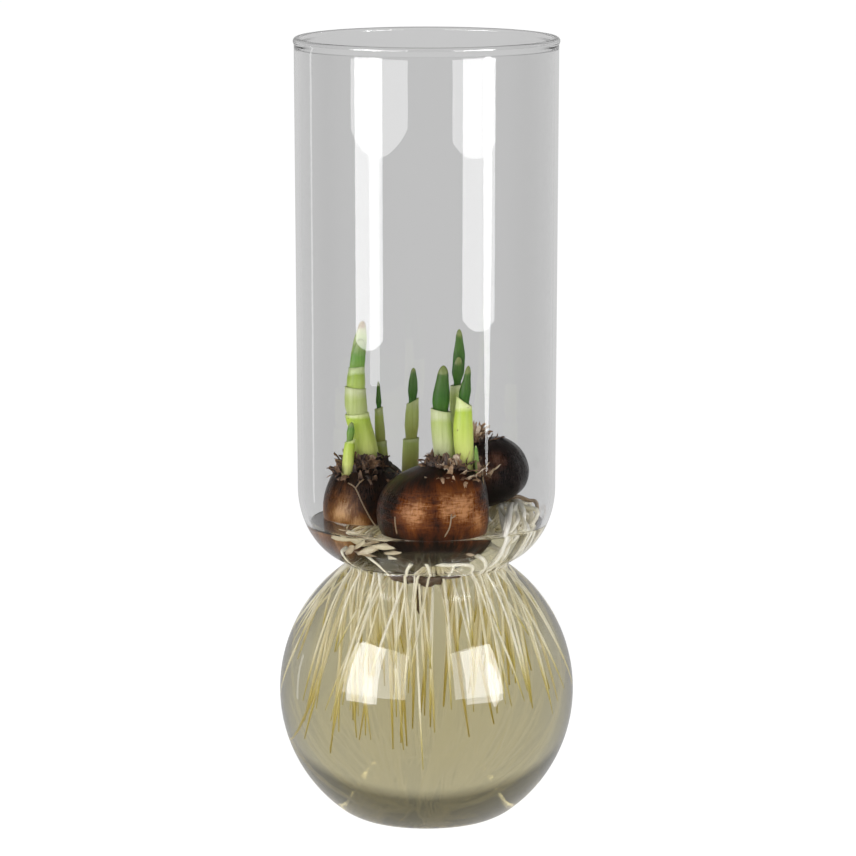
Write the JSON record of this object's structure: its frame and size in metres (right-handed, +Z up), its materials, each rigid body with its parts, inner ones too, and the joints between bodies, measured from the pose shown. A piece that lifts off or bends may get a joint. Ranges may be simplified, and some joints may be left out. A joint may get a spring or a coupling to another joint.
{
  "type": "paperwhite bulbs in forcing vase",
  "caption": "Flowering bulbs sprouting green shoots over a narrow waist, their roots hanging in the water of a clear ball-footed glass forcing vase with a tall open tube.",
  "frame": {"origin": "middle of the vase's foot, on the surface it stands on", "axes": "+Z up along the vase's axis; -Y is the front, with the largest bulb nearest"},
  "size_m": [0.14, 0.14, 0.3735],
  "materials": {
    "clear_glass": "clear blown glass, polished, faintly grey",
    "water": "still water, faintly straw coloured",
    "brown_skin": "glossy dry chestnut bulb skin with fine wrinkles",
    "dark_skin": "glossy dry bulb skin, almost black-brown",
    "papery_skin": "torn dry papery skin, matt",
    "pale_sheath": "smooth pale green to cream leaf sheath, satin",
    "green_leaf": "fresh green leaf, satin, with fine lengthwise veins",
    "white_root": "smooth fleshy white root with yellower tip",
    "skin_scrap": "wet shed skin, cream"
  },
  "bodies": {
    "root": {"bulb_front": "brown_skin", "bulb_left": "brown_skin", "bulb_rear": "brown_skin", "bulb_right": "dark_skin", "front_left_leaf": "green_leaf", "front_left_sheath": "pale_sheath", "front_right_leaf": "green_leaf", "front_right_sheath": "pale_sheath", "front_sprout": "green_leaf", "front_tall_back_leaf": "green_leaf", "front_tall_front_leaf": "green_leaf", "front_tall_sheath": "pale_sheath", "glass_vase": "clear_glass", "left_small_leaf": "green_leaf", "left_small_sheath": "pale_sheath", "left_tall_back_leaf": "green_leaf", "left_tall_front_leaf": "green_leaf", "left_tall_inner_sheath": "pale_sheath", "left_tall_middle_sheath": "pale_sheath", "left_tall_outer_sheath": "pale_sheath", "left_thin_inner_sheath": "pale_sheath", "left_thin_leaf": "green_leaf", "left_thin_outer_sheath": "pale_sheath", "neck_skin_front": "papery_skin", "neck_skin_left": "papery_skin", "neck_skin_rear": "papery_skin", "neck_skin_right": "papery_skin", "rear_inner_sheath": "pale_sheath", "rear_leaf": "green_leaf", "rear_outer_sheath": "pale_sheath", "roots_front": "white_root", "roots_left": "white_root", "roots_rear": "white_root", "roots_right": "white_root", "skin_scrap_1": "skin_scrap", "skin_scrap_2": "skin_scrap", "skin_scrap_3": "skin_scrap", "water": "water"}
  },
  "joints": []
}
